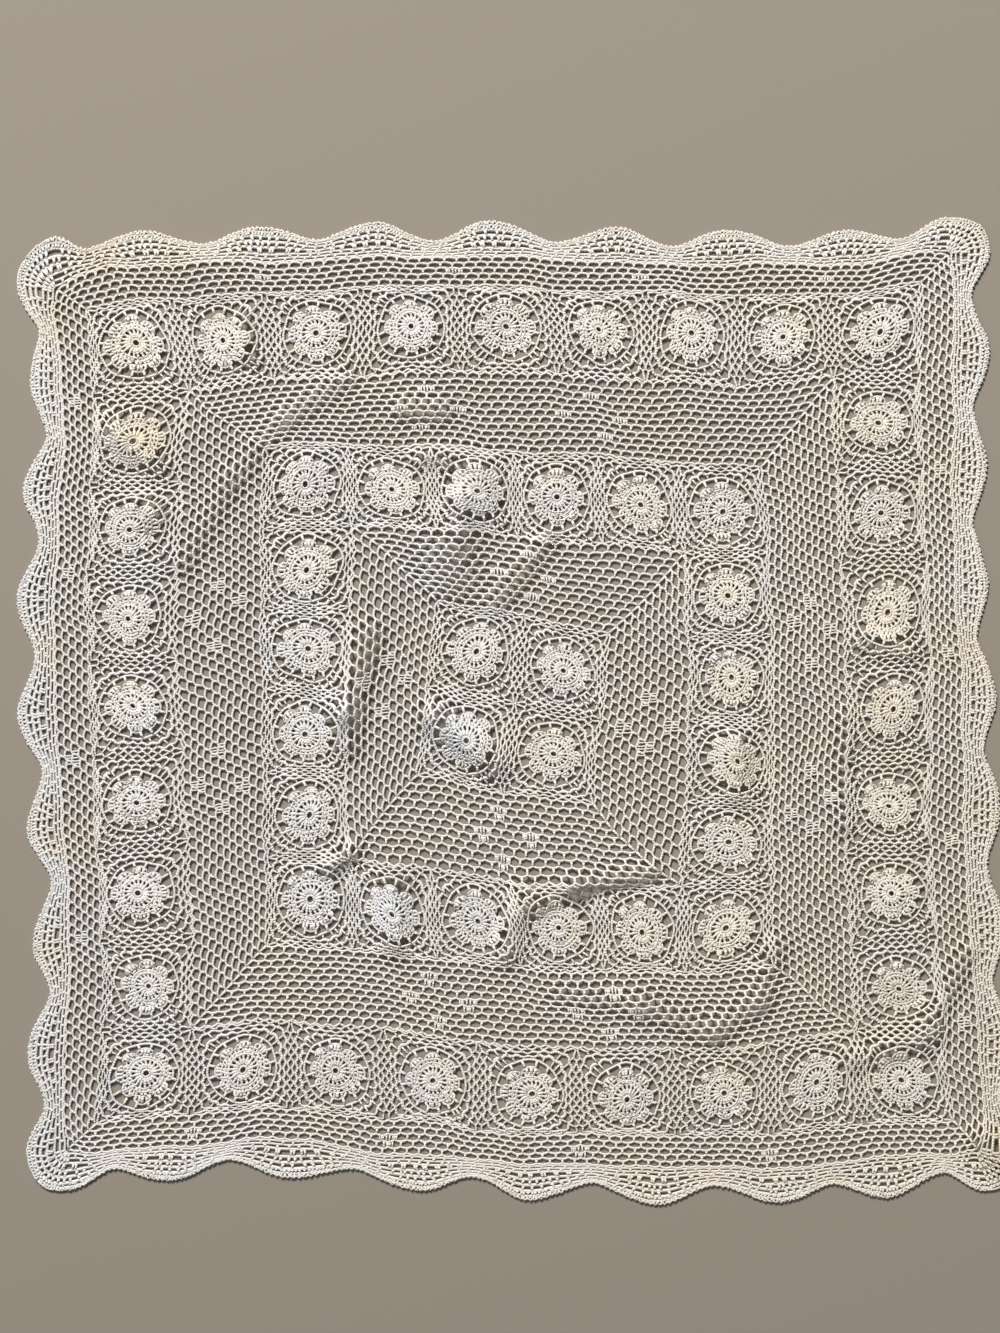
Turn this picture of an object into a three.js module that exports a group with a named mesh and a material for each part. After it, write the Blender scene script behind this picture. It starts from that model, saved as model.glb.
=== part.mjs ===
// Crochet table topper: a square of cotton lace about 0.9 m wide, laid loosely on a flat surface.
// From the middle out it has four medallions, a net, a ring of medallions, a second net, a larger ring of
// medallions, a narrow net, and a dense scalloped edging that swells round each corner. All of it is one
// continuous cloth.
// Millimetres, +Z up, seen from above with +Y away from the viewer. The underside rests on Z = 0.
import * as THREE from "three";

// Pattern, pulled flat and square, centred on the origin
const CENTRE_PITCH = 80; // between the four medallions in the middle
const INNER_PITCH = 76; // between neighbours in the inner ring
const OUTER_PITCH = 85; // between neighbours in the outer ring
const CENTRE_COUNT = 2; // medallions along a side
const INNER_COUNT = 6;
const OUTER_COUNT = 9;
const BORDER_NET_WIDTH = 21.5; // from the outer ring to the edging
const VALLEY_WIDTH = 18; // of the edging between two scallops
const SCALLOP_RISE = 16.4; // of a scallop's tip past the valleys
const SCALLOP_BASE_RISE = 2; // of the edging's first row under a tip
const SCALLOP_COUNT = 7; // along a side, between the corners
const SCALLOP_PITCH = 104;
const SCALLOP_FULLNESS = 0.85; // exponent of its arch, below 1 for a rounder one
const CORNER_RISE = 17.4; // of the edging round a corner past the valleys

// Medallion: a flower with eight petals inside a square of net
const PETAL_TIP_RADIUS = 24;
const PETAL_NOTCH_RADIUS = 18;
const GAP_REACH = 28; // outer side of the gap between two petals
const GAP_HALF_ANGLE = 8.5; // degrees
const QUARTER = 90; // degrees
const EIGHTH = 45;
const SIXTEENTH = 22.5;

// The two gaps at the foot of a scallop's fan, above the edging's first row
const SCALLOP_GAP = { aside: 4.7, above: 12.4, halfWidth: 2.9, halfHeight: 2 };

// Thickness of the cloth
const NET_THICKNESS = 1.8;
const EDGING_THICKNESS = 2.2;
const PETAL_THICKNESS = 2.6;
const FLOWER_THICKNESS = 3;

// Steps along the pattern
const TILE_STEPS = 2; // along a side of a medallion's square
const SCALLOP_BASE_STEPS = 4;
const SCALLOP_RIM_STEPS = 10;
const CORNER_FLANK_STEPS = 6;
const CORNER_TURN_STEPS = 8;

// How the cloth lies, by concentric square of the pattern. half is the square's half side, tilt and lean turn
// its rows and columns, moveX and moveY shift it, and the last four push its sides outwards.
const LAY = [
  { half: 60, tilt: 0.19, lean: 0.12, moveX: -1, moveY: 3, top: 0, right: 0, bottom: 0, left: 0 },
  { half: 190, tilt: 0.068, lean: -0.006, moveX: 1.5, moveY: 1.5, top: 4, right: 8, bottom: 12, left: 3 },
  { half: 340, tilt: 0, lean: 0, moveX: 0, moveY: 0, top: 11, right: 5, bottom: 15, left: 9 },
  { half: 450, tilt: 0, lean: 0, moveX: 0, moveY: 0, top: 12, right: 5, bottom: 16, left: 9 },
];

// Pulls at the corners: sideX and sideY name the corner, ringX and ringY move the outer ring there, and edgeX
// and edgeY the edging.
const CORNER_PULLS = [
  { sideX: -1, sideY: 1, ringX: -6, ringY: -11, edgeX: -24.6, edgeY: -22.7 },
  { sideX: 1, sideY: 1, ringX: -9, ringY: 6, edgeX: -9.4, edgeY: 14.2 },
  { sideX: -1, sideY: -1, ringX: -2, ringY: 2, edgeX: -16.9, edgeY: -11.1 },
  { sideX: 1, sideY: -1, ringX: 17, ringY: 0, edgeX: 30.2, edgeY: -11.9 },
];

// How the sides lie askew. outX and outY give a side's way out. Each row has its place along the side as a
// share of the square's half side, how far the outer ring lies outwards and along there, and how far the edge
// does.
const SIDES = [
  {
    outX: 0,
    outY: 1,
    rows: [
      { at: -0.92, ringOut: 0, ringAlong: 0, edgeOut: 1.5, edgeAlong: 0 },
      { at: -0.83, ringOut: 0, ringAlong: -6, edgeOut: 18, edgeAlong: -7 },
      { at: -0.71, ringOut: 0, ringAlong: -10, edgeOut: 11, edgeAlong: -13 },
      { at: -0.48, ringOut: 1, ringAlong: -9, edgeOut: 6.5, edgeAlong: -13 },
      { at: -0.24, ringOut: 2, ringAlong: -7, edgeOut: 3.5, edgeAlong: -12 },
      { at: 0, ringOut: -1, ringAlong: -2.5, edgeOut: -2, edgeAlong: -12 },
      { at: 0.24, ringOut: -5.5, ringAlong: -1.5, edgeOut: -12, edgeAlong: -6 },
      { at: 0.48, ringOut: -10, ringAlong: -3, edgeOut: -14, edgeAlong: -5 },
      { at: 0.71, ringOut: -11.5, ringAlong: -1, edgeOut: -16, edgeAlong: -3 },
      { at: 0.83, ringOut: -8, ringAlong: -1, edgeOut: -11, edgeAlong: -6 },
      { at: 0.92, ringOut: -3.5, ringAlong: 0, edgeOut: 5, edgeAlong: 4 },
    ],
  },
  {
    outX: 1,
    outY: 0,
    rows: [
      { at: -0.92, ringOut: 0, ringAlong: 0, edgeOut: 0, edgeAlong: 0 },
      { at: -0.83, ringOut: -1.5, ringAlong: -3, edgeOut: -2, edgeAlong: 10 },
      { at: -0.71, ringOut: -2.5, ringAlong: -5, edgeOut: -3, edgeAlong: 15 },
      { at: -0.48, ringOut: -7, ringAlong: -2.5, edgeOut: -6, edgeAlong: 14 },
      { at: -0.24, ringOut: -7, ringAlong: -5.5, edgeOut: -6, edgeAlong: 13 },
      { at: 0, ringOut: 0, ringAlong: -3.5, edgeOut: -5, edgeAlong: 11 },
      { at: 0.24, ringOut: 0, ringAlong: 0, edgeOut: -7, edgeAlong: 11 },
      { at: 0.48, ringOut: -1, ringAlong: 5, edgeOut: -4.5, edgeAlong: 5 },
      { at: 0.71, ringOut: -1.5, ringAlong: 3, edgeOut: 1, edgeAlong: 0 },
      { at: 0.83, ringOut: -1, ringAlong: 2, edgeOut: 1, edgeAlong: 0 },
      { at: 0.92, ringOut: 0, ringAlong: 0, edgeOut: 5, edgeAlong: 0 },
    ],
  },
  {
    outX: 0,
    outY: -1,
    rows: [
      { at: -0.92, ringOut: -3, ringAlong: 0, edgeOut: -6, edgeAlong: 0 },
      { at: -0.83, ringOut: -9, ringAlong: 3, edgeOut: -13, edgeAlong: 5 },
      { at: -0.71, ringOut: -16, ringAlong: 7, edgeOut: -16, edgeAlong: 3 },
      { at: -0.61, ringOut: -16, ringAlong: 7, edgeOut: -26, edgeAlong: 4 },
      { at: -0.48, ringOut: -15.5, ringAlong: 7, edgeOut: -25, edgeAlong: 11 },
      { at: -0.37, ringOut: -12, ringAlong: 7, edgeOut: -18, edgeAlong: 17 },
      { at: -0.24, ringOut: -9, ringAlong: 7, edgeOut: -14, edgeAlong: 15 },
      { at: 0, ringOut: 1.5, ringAlong: 8, edgeOut: -7, edgeAlong: 12 },
      { at: 0.24, ringOut: 3, ringAlong: 11, edgeOut: -4, edgeAlong: 15 },
      { at: 0.48, ringOut: 5, ringAlong: 11, edgeOut: 0, edgeAlong: 17 },
      { at: 0.71, ringOut: 2, ringAlong: 11, edgeOut: -3, edgeAlong: 8 },
      { at: 0.83, ringOut: -1, ringAlong: 5, edgeOut: -11, edgeAlong: 9 },
      { at: 0.92, ringOut: -5, ringAlong: 0, edgeOut: -8, edgeAlong: 0 },
    ],
  },
  {
    outX: -1,
    outY: 0,
    rows: [
      { at: -0.92, ringOut: -4.5, ringAlong: 0, edgeOut: -8, edgeAlong: 0 },
      { at: -0.83, ringOut: -7, ringAlong: -2, edgeOut: -6.5, edgeAlong: 8 },
      { at: -0.71, ringOut: -9, ringAlong: -4, edgeOut: -9, edgeAlong: 9 },
      { at: -0.48, ringOut: -5, ringAlong: -1, edgeOut: -14, edgeAlong: 0 },
      { at: -0.24, ringOut: -3, ringAlong: -2.5, edgeOut: -9, edgeAlong: -1 },
      { at: 0, ringOut: -2, ringAlong: 0, edgeOut: -1, edgeAlong: 2 },
      { at: 0.24, ringOut: 5.5, ringAlong: 2, edgeOut: -1, edgeAlong: 6 },
      { at: 0.48, ringOut: 2, ringAlong: 2, edgeOut: -8, edgeAlong: 7 },
      { at: 0.61, ringOut: 2, ringAlong: -2, edgeOut: -14, edgeAlong: 5 },
      { at: 0.71, ringOut: 2.5, ringAlong: -5, edgeOut: -16, edgeAlong: 6 },
      { at: 0.83, ringOut: -1, ringAlong: -2, edgeOut: -9, edgeAlong: 2 },
      { at: 0.92, ringOut: -5, ringAlong: 0, edgeOut: 0, edgeAlong: 0 },
    ],
  },
];

// Half sides of the squares where the pulls and shifts begin and are whole
const RING_PULL_STARTS = 190;
const RING_PULL_WHOLE = 340;
const EDGE_PULL_WHOLE = 440;
const SQUARENESS = 8; // exponent of the rounded squares

// Unevenness of work by hand: waves across the pattern that shift it sideways. heading is in degrees.
const WAVES = [
  { length: 118, heading: 20, shiftX: 0.6, shiftY: 1.1, start: 0.4 },
  { length: 96, heading: 110, shiftX: 0.9, shiftY: 0.6, start: 2.1 },
  { length: 71, heading: 65, shiftX: 0.4, shiftY: 0.7, start: 4 },
  { length: 58, heading: 150, shiftX: 0.5, shiftY: 0.4, start: 1.2 },
  { length: 41, heading: 5, shiftX: 0.2, shiftY: 0.4, start: 5.1 },
  { length: 37, heading: 95, shiftX: 0.3, shiftY: 0.2, start: 3.3 },
];

// Main folds: a soft ridge from one point to another of the laid cloth, its height and its half width
const FOLDS = [
  { fromX: -101, fromY: 276, toX: -69, toY: 274, height: 7, reach: 11 },
  { fromX: -84, fromY: 230, toX: -66, toY: 231, height: 6, reach: 10 },
  { fromX: -63, fromY: 138, toX: -60, toY: 122, height: 6, reach: 24 },
  { fromX: -36, fromY: 216, toX: -34, toY: 186, height: 7, reach: 22 },
  { fromX: -54, fromY: 190, toX: -50, toY: 152, height: 7, reach: 11 },
  { fromX: 28, fromY: 154, toX: -18, toY: 98, height: 5, reach: 12 },
  { fromX: -134, fromY: 68, toX: -155, toY: -4, height: 8, reach: 13 },
  { fromX: -155, fromY: -4, toX: -155, toY: -32, height: 6, reach: 14 },
  { fromX: -73, fromY: -8, toX: -23, toY: -47, height: 9, reach: 16 },
  { fromX: -172, fromY: -146, toX: -150, toY: -132, height: 7, reach: 9 },
  { fromX: -112, fromY: -160, toX: -111, toY: -215, height: 7, reach: 15 },
  { fromX: 9, fromY: -166, toX: -8, toY: -226, height: 7, reach: 12 },
  { fromX: 18, fromY: -180, toX: 55, toY: -162, height: 6, reach: 10 },
  { fromX: 55, fromY: -162, toX: 124, toY: -150, height: 8, reach: 9 },
  { fromX: -304, fromY: 133, toX: -260, toY: 211, height: 3, reach: 11 },
  { fromX: -260, fromY: 211, toX: -212, toY: 266, height: 3, reach: 11 },
  { fromX: -212, fromY: 266, toX: -156, toY: 303, height: 4, reach: 11 },
  { fromX: -368, fromY: 255, toX: -336, toY: 227, height: 6, reach: 14 },
  { fromX: -342, fromY: 186, toX: -336, toY: 178, height: 5, reach: 14 },
  { fromX: -250, fromY: 356, toX: -244, toY: 324, height: 4, reach: 11 },
  { fromX: 41, fromY: -260, toX: 115, toY: -271, height: 4, reach: 12 },
  { fromX: 115, fromY: -271, toX: 181, toY: -297, height: 5, reach: 12 },
  { fromX: 181, fromY: -297, toX: 223, toY: -268, height: 5, reach: 12 },
  { fromX: 223, fromY: -268, toX: 238, toY: -219, height: 5, reach: 12 },
  { fromX: 202, fromY: -32, toX: 203, toY: -78, height: 6, reach: 15 },
  { fromX: 301, fromY: -9, toX: 301, toY: -109, height: 4, reach: 10 },
  { fromX: 322, fromY: 62, toX: 359, toY: 52, height: 5, reach: 11 },
  { fromX: 414, fromY: -224, toX: 382, toY: -288, height: 5, reach: 11 },
  { fromX: 312, fromY: -322, toX: 384, toY: -300, height: 5, reach: 13 },
  { fromX: 428, fromY: -394, toX: 448, toY: -414, height: 7, reach: 13 },
];
const SETTLED = 0.4; // lower parts of a fold lie flat

// Middle of the laid cloth's box, which becomes the origin
const BOX_MIDDLE_X = 3;
const BOX_MIDDLE_Y = -3.533;

const COTTON = { color: 0xd9cdb8, roughness: 0.95, metalness: 0 };

const centreHalf = (CENTRE_COUNT * CENTRE_PITCH) / 2;
const innerRingHalf = (INNER_COUNT * INNER_PITCH) / 2;
const innerRingHole = innerRingHalf - INNER_PITCH;
const outerRingHalf = (OUTER_COUNT * OUTER_PITCH) / 2;
const outerRingHole = outerRingHalf - OUTER_PITCH;
const edgingBase = outerRingHalf + BORDER_NET_WIDTH;
const valleyPlace = edgingBase + VALLEY_WIDTH;
const scallopsHalf = (SCALLOP_COUNT * SCALLOP_PITCH) / 2;

const radians = THREE.MathUtils.degToRad;
const ramp = (value, low, high) => THREE.MathUtils.smoothstep(value, low, high);

// A row of LAY between its squares, blended smoothly
function layAt(half) {
  const above = LAY.findIndex((row) => row.half > half);
  if (above === 0) return LAY[0];
  if (above === -1) return LAY[LAY.length - 1];
  const inside = LAY[above - 1];
  const outside = LAY[above];
  const share = ramp(half, inside.half, outside.half);
  const blended = {};
  for (const name of Object.keys(inside)) {
    blended[name] = THREE.MathUtils.lerp(inside[name], outside[name], share);
  }
  return blended;
}

// A column of a side's rows at a place along it, straight between the rows
function shiftAt(rows, at, column) {
  const above = rows.findIndex((row) => row.at >= at);
  if (above === 0) return rows[0][column];
  if (above === -1) return rows[rows.length - 1][column];
  const before = rows[above - 1];
  const after = rows[above];
  return THREE.MathUtils.mapLinear(at, before.at, after.at, before[column], after[column]);
}

// Where a point of the pattern lies on the surface
function laid(x, y) {
  const powers = Math.abs(x) ** SQUARENESS + Math.abs(y) ** SQUARENESS;
  const half = Math.max(powers ** (1 / SQUARENESS), 1);
  const across = x / half;
  const along = y / half;
  const row = layAt(half);
  const levelShare = 1 - across * across;
  const uprightShare = 1 - along * along;
  let laidX = x + row.lean * y + row.moveX;
  let laidY = y - row.tilt * x + row.moveY;
  laidX += uprightShare * (row.right * Math.max(across, 0) ** 2 - row.left * Math.max(-across, 0) ** 2);
  laidY += levelShare * (row.top * Math.max(along, 0) ** 2 - row.bottom * Math.max(-along, 0) ** 2);
  const ringShare = ramp(half, RING_PULL_STARTS, RING_PULL_WHOLE);
  const edgeShare = ramp(half, RING_PULL_WHOLE, EDGE_PULL_WHOLE);
  for (const pull of CORNER_PULLS) {
    const near = (((1 + pull.sideX * across) * (1 + pull.sideY * along)) / 4) ** 2;
    laidX += near * ringShare * THREE.MathUtils.lerp(pull.ringX, pull.edgeX, edgeShare);
    laidY += near * ringShare * THREE.MathUtils.lerp(pull.ringY, pull.edgeY, edgeShare);
  }
  for (const { outX, outY, rows } of SIDES) {
    const at = across * Math.abs(outY) + along * Math.abs(outX);
    const near = ringShare * Math.max(across * outX + along * outY, 0) ** 4;
    const ringOut = shiftAt(rows, at, "ringOut");
    const edgeOut = shiftAt(rows, at, "edgeOut");
    const ringAlong = shiftAt(rows, at, "ringAlong");
    const edgeAlong = shiftAt(rows, at, "edgeAlong");
    const outwards = near * THREE.MathUtils.lerp(ringOut, edgeOut, edgeShare);
    const aside = near * THREE.MathUtils.lerp(ringAlong, edgeAlong, edgeShare);
    laidX += outwards * outX + aside * Math.abs(outY);
    laidY += outwards * outY + aside * Math.abs(outX);
  }
  for (const wave of WAVES) {
    const turn = radians(wave.heading);
    const run = x * Math.cos(turn) + y * Math.sin(turn);
    const swing = Math.sin((2 * Math.PI * run) / wave.length + wave.start);
    laidX += wave.shiftX * swing;
    laidY += wave.shiftY * swing;
  }
  return new THREE.Vector2(laidX, laidY);
}

// How far the folds lift the underside at a laid point
function foldHeight(place) {
  let lift = 0;
  for (const fold of FOLDS) {
    const start = new THREE.Vector3(fold.fromX, fold.fromY, 0);
    const end = new THREE.Vector3(fold.toX, fold.toY, 0);
    const spot = new THREE.Vector3(place.x, place.y, 0);
    const nearest = new THREE.Line3(start, end).closestPointToPoint(spot, true, new THREE.Vector3());
    lift += fold.height * Math.exp(-((nearest.distanceTo(spot) / fold.reach) ** 2));
  }
  return Math.max(lift - SETTLED, 0);
}

// Flat triangles of the pattern. Points at the same place are one point, so neighbouring pieces join.
class Pattern {
  constructor() {
    this.points = [];
    this.triangles = [];
    this.known = new Map();
  }

  point(x, y, thickness) {
    const key = x.toFixed(3) + " " + y.toFixed(3);
    const name = key.replaceAll("-0.000", "0.000");
    if (!this.known.has(name)) {
      this.known.set(name, this.points.length);
      this.points.push({ x, y, thickness });
    }
    return this.known.get(name);
  }

  triangle(a, b, c) {
    this.triangles.push([a, b, c]);
  }

  // Triangles between two rows on one side of the cloth, both from left to right on the top side
  strip(inner, outer, quarters) {
    const along = (number) => {
      const [x, y] = turned(this.points[number].x, this.points[number].y, (4 - quarters) % 4);
      return x / y;
    };
    let i = 0;
    let j = 0;
    while (i < inner.length - 1 || j < outer.length - 1) {
      const innerDone = i === inner.length - 1;
      const outerDone = j === outer.length - 1;
      if (outerDone || (!innerDone && along(inner[i + 1]) <= along(outer[j + 1]))) {
        this.triangle(inner[i], inner[i + 1], outer[j]);
        i += 1;
      } else {
        this.triangle(inner[i], outer[j + 1], outer[j]);
        j += 1;
      }
    }
  }

  // An outline with gaps, filled between them
  filled(outline, gaps) {
    const asPlace = (number) => new THREE.Vector2(this.points[number].x, this.points[number].y);
    const all = [outline, ...gaps].flat();
    const gapPlaces = gaps.map((gap) => gap.map(asPlace));
    for (const face of THREE.ShapeUtils.triangulateShape(outline.map(asPlace), gapPlaces)) {
      const corners = face.map((place) => all[place]);
      const turn = THREE.ShapeUtils.area(corners.map(asPlace));
      if (turn < 0) corners.reverse();
      this.triangle(...corners);
    }
  }
}

// Turns a place of the top side onto another side by quarter turns
function turned(x, y, quarters) {
  if (quarters === 0) return [x, y];
  return turned(-y, x, quarters - 1);
}

// One medallion: eight petals round a raised middle, four of the gaps between petals left open
function addMedallion(pattern, middleX, middleY, half) {
  const at = (radius, degrees, thickness) => {
    const turn = radians(degrees);
    return pattern.point(middleX + radius * Math.cos(turn), middleY + radius * Math.sin(turn), thickness);
  };
  const middle = at(0, 0, FLOWER_THICKNESS);
  for (let start = 0; start < 4 * QUARTER; start += QUARTER) {
    const tip = [0, EIGHTH, QUARTER].map((degrees) => at(PETAL_TIP_RADIUS, start + degrees, PETAL_THICKNESS));
    const notch = [SIXTEENTH, QUARTER - SIXTEENTH].map((degrees) =>
      at(PETAL_NOTCH_RADIUS, start + degrees, EDGING_THICKNESS),
    );
    const gapFirst = at(GAP_REACH, start + SIXTEENTH - GAP_HALF_ANGLE, NET_THICKNESS);
    const gapLast = at(GAP_REACH, start + SIXTEENTH + GAP_HALF_ANGLE, NET_THICKNESS);
    const side = at(half, start, NET_THICKNESS);
    const corner = at(half * Math.SQRT2, start + EIGHTH, NET_THICKNESS);
    const nextSide = at(half, start + QUARTER, NET_THICKNESS);
    pattern.triangle(middle, tip[0], notch[0]);
    pattern.triangle(middle, notch[0], tip[1]);
    pattern.triangle(middle, tip[1], notch[1]);
    pattern.triangle(middle, notch[1], tip[2]);
    pattern.triangle(tip[0], gapFirst, notch[0]);
    pattern.triangle(notch[0], gapLast, tip[1]);
    pattern.triangle(tip[0], side, gapFirst);
    pattern.triangle(gapFirst, side, corner);
    pattern.triangle(gapFirst, corner, gapLast);
    pattern.triangle(gapLast, corner, tip[1]);
    pattern.triangle(tip[1], corner, nextSide);
    pattern.triangle(tip[1], nextSide, notch[1]);
    pattern.triangle(notch[1], nextSide, tip[2]);
  }
}

// A square of medallions, or only the ring of them at its rim
function addMedallions(pattern, count, pitch, ringOnly) {
  const last = count - 1;
  for (let column = 0; column < count; column += 1) {
    for (let line = 0; line < count; line += 1) {
      const atRim = column === 0 || line === 0 || column === last || line === last;
      if (ringOnly && !atRim) continue;
      addMedallion(pattern, (column - last / 2) * pitch, (line - last / 2) * pitch, pitch / 2);
    }
  }
}

// Points along one side of a square, from left to right on the top side
function sideRow(pattern, half, steps, quarters) {
  const row = [];
  for (let step = 0; step <= steps; step += 1) {
    const place = turned(-half + (2 * half * step) / steps, half, quarters);
    row.push(pattern.point(...place, NET_THICKNESS));
  }
  return row;
}

// A net between two squares, with two closer rows of points between them
function addNet(pattern, innerHalf, innerSteps, outerHalf, outerSteps) {
  const third = (outerHalf - innerHalf) / 3;
  for (let quarters = 0; quarters < 4; quarters += 1) {
    const rows = [
      sideRow(pattern, innerHalf, innerSteps, quarters),
      sideRow(pattern, innerHalf + third, innerSteps + outerSteps, quarters),
      sideRow(pattern, outerHalf - third, innerSteps + outerSteps, quarters),
      sideRow(pattern, outerHalf, outerSteps, quarters),
    ];
    for (let row = 1; row < rows.length; row += 1) pattern.strip(rows[row - 1], rows[row], quarters);
  }
}

// An arch from 0 at -1 and 1 to 1 in the middle
function archAt(share) {
  return ((1 + Math.cos(Math.PI * share)) / 2) ** SCALLOP_FULLNESS;
}

// How far out the edging's first row and its rim lie, across a scallop from -1 to 1
function baseAt(share) {
  return edgingBase + SCALLOP_BASE_RISE * (1 - share ** 2);
}

function rimAt(share) {
  return valleyPlace + SCALLOP_RISE * archAt(share);
}

// Points across one scallop, from left to right on the top side
function scallopRow(pattern, middle, steps, heightAt, quarters) {
  const row = [];
  for (let step = 0; step <= steps; step += 1) {
    const share = (2 * step) / steps - 1;
    const x = middle + (share * SCALLOP_PITCH) / 2;
    row.push(pattern.point(...turned(x, heightAt(share), quarters), EDGING_THICKNESS));
  }
  return row;
}

// Four corners of a gap in a scallop
function gapCorners(pattern, x, y, quarters) {
  const { halfWidth, halfHeight } = SCALLOP_GAP;
  const corners = [
    [x - halfWidth, y - halfHeight],
    [x + halfWidth, y - halfHeight],
    [x + halfWidth, y + halfHeight],
    [x - halfWidth, y + halfHeight],
  ];
  return corners.map((place) => pattern.point(...turned(...place, quarters), EDGING_THICKNESS));
}

function addScallop(pattern, middle, base, quarters) {
  const rim = scallopRow(pattern, middle, SCALLOP_RIM_STEPS, rimAt, quarters);
  const gapY = edgingBase + SCALLOP_GAP.above;
  const gaps = [-1, 1].map((side) =>
    gapCorners(pattern, middle + side * SCALLOP_GAP.aside, gapY, quarters),
  );
  pattern.filled([...base, ...rim.reverse()], gaps);
}

// The edging round the top right corner: up one flank, round a quarter turn and down the other flank
function addCorner(pattern, quarters) {
  const at = (x, y) => pattern.point(...turned(x, y, quarters), EDGING_THICKNESS);
  const outline = [at(scallopsHalf, edgingBase), at(edgingBase, edgingBase), at(edgingBase, scallopsHalf)];
  const flank = [];
  for (let step = 0; step <= CORNER_FLANK_STEPS; step += 1) {
    const share = step / CORNER_FLANK_STEPS;
    const along = THREE.MathUtils.lerp(scallopsHalf, edgingBase, share);
    flank.push([valleyPlace + CORNER_RISE * archAt(1 - share), along]);
  }
  outline.push(...flank.map(([out, along]) => at(out, along)));
  const radius = VALLEY_WIDTH + CORNER_RISE;
  for (let step = 1; step < CORNER_TURN_STEPS; step += 1) {
    const turn = radians((QUARTER * step) / CORNER_TURN_STEPS);
    outline.push(at(edgingBase + radius * Math.cos(turn), edgingBase + radius * Math.sin(turn)));
  }
  outline.push(...flank.reverse().map(([out, along]) => at(along, out)));
  pattern.filled(outline, []);
}

// The narrow net outside the outer ring and the scalloped edging, side by side round the cloth
function addBorder(pattern) {
  for (let quarters = 0; quarters < 4; quarters += 1) {
    const ringSide = sideRow(pattern, outerRingHalf, OUTER_COUNT * TILE_STEPS, quarters);
    const corner = (side) => {
      const place = turned(side * edgingBase, edgingBase, quarters);
      return pattern.point(...place, EDGING_THICKNESS);
    };
    const bases = [];
    for (let scallop = 0; scallop < SCALLOP_COUNT; scallop += 1) {
      const middle = (scallop - (SCALLOP_COUNT - 1) / 2) * SCALLOP_PITCH;
      const base = scallopRow(pattern, middle, SCALLOP_BASE_STEPS, baseAt, quarters);
      addScallop(pattern, middle, base, quarters);
      bases.push(...base);
    }
    const edgingRow = [corner(-1), ...new Set(bases), corner(1)];
    pattern.strip(ringSide, edgingRow, quarters);
    addCorner(pattern, quarters);
  }
}

// The closed solid of a flat pattern: laid out, lifted by the folds, with a wall at every edge
function solidOf(pattern) {
  const count = pattern.points.length;
  const position = new Float32Array(count * 6);
  pattern.points.forEach((point, number) => {
    const place = laid(point.x, point.y);
    const low = foldHeight(place);
    const x = place.x - BOX_MIDDLE_X;
    const y = place.y - BOX_MIDDLE_Y;
    position.set([x, y, low], number * 3);
    position.set([x, y, low + point.thickness], (count + number) * 3);
  });
  const faces = [];
  const edges = new Map();
  for (const [a, b, c] of pattern.triangles) {
    faces.push(c, b, a, count + a, count + b, count + c);
    for (const [from, to] of [
      [a, b],
      [b, c],
      [c, a],
    ]) {
      edges.set(from + " " + to, [from, to]);
    }
  }
  for (const [from, to] of edges.values()) {
    if (edges.has(to + " " + from)) continue;
    faces.push(from, to, count + to, from, count + to, count + from);
  }
  const geometry = new THREE.BufferGeometry();
  geometry.setAttribute("position", new THREE.BufferAttribute(position, 3));
  geometry.setIndex(faces);
  geometry.computeVertexNormals();
  return geometry;
}

const pattern = new Pattern();
addMedallions(pattern, CENTRE_COUNT, CENTRE_PITCH, false);
addNet(pattern, centreHalf, CENTRE_COUNT * TILE_STEPS, innerRingHole, (INNER_COUNT - 2) * TILE_STEPS);
addMedallions(pattern, INNER_COUNT, INNER_PITCH, true);
addNet(pattern, innerRingHalf, INNER_COUNT * TILE_STEPS, outerRingHole, (OUTER_COUNT - 2) * TILE_STEPS);
addMedallions(pattern, OUTER_COUNT, OUTER_PITCH, true);
addBorder(pattern);

const topper = new THREE.Mesh(solidOf(pattern), new THREE.MeshStandardMaterial(COTTON));
topper.name = "topper";

const group = new THREE.Group();
group.add(topper);

export default group;
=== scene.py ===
import math

import bpy
import numpy as np
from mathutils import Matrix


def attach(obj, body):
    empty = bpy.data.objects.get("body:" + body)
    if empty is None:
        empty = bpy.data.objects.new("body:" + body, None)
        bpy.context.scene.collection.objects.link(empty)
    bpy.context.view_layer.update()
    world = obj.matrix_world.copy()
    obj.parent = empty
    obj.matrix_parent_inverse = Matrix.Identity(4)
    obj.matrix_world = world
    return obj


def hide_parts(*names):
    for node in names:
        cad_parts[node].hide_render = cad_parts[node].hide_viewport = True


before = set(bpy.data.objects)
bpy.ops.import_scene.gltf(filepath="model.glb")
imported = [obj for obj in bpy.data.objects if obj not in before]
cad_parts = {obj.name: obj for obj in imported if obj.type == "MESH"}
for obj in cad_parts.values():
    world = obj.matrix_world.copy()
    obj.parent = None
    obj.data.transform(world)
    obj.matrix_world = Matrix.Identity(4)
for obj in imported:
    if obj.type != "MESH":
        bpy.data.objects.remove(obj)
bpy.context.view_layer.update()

MM = 0.001
SEED = 5
chance = np.random.default_rng(SEED)

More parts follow.
